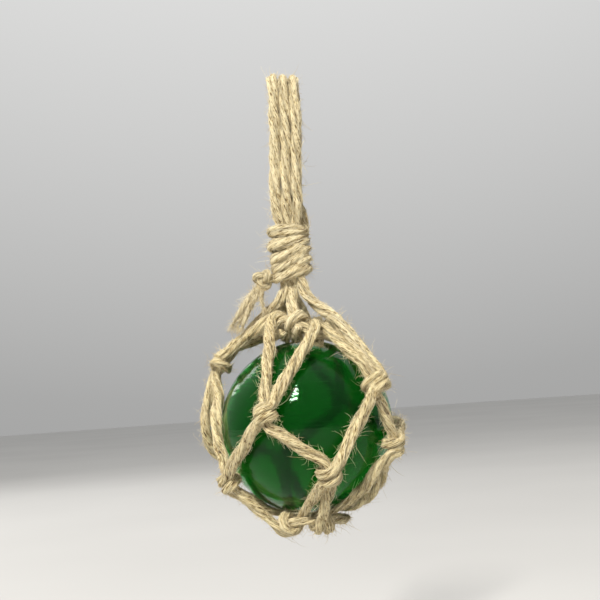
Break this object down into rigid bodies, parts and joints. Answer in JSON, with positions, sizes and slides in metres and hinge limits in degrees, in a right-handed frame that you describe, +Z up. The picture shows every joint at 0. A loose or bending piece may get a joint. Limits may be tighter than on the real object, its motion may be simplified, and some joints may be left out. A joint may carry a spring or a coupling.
{
  "type": "glass float ball",
  "caption": "Hollow green glass fishing-float ball held in a knotted jute rope net, hanging from a gathered rope loop; a nautical ornament.",
  "frame": {"origin": "inner top of the rope loop, where it bears on the hook or peg that it hangs from", "axes": "+Z up, with the ball plumb below the origin; +X to the right across the loop; -Y is the front"},
  "size_m": [0.1511, 0.1464, 0.3477],
  "materials": {
    "green_glass": "glossy blown glass, deep bottle green, with faint horizontal striations",
    "net_rope": "rough straw-coloured jute, three plies, fuzzy with stray fibres",
    "hanger_rope": "rough straw-coloured jute, three plies, fuzzy with stray fibres"
  },
  "bodies": {
    "root": {"glass_ball": "green_glass", "top_ring": "net_rope", "bottom_ring": "net_rope", "net_cord_1": "net_rope", "net_cord_2": "net_rope", "net_cord_3": "net_rope", "net_cord_4": "net_rope", "hanger_rope_left": "hanger_rope", "hanger_rope_middle": "hanger_rope", "hanger_rope_right": "hanger_rope"}
  },
  "joints": []
}
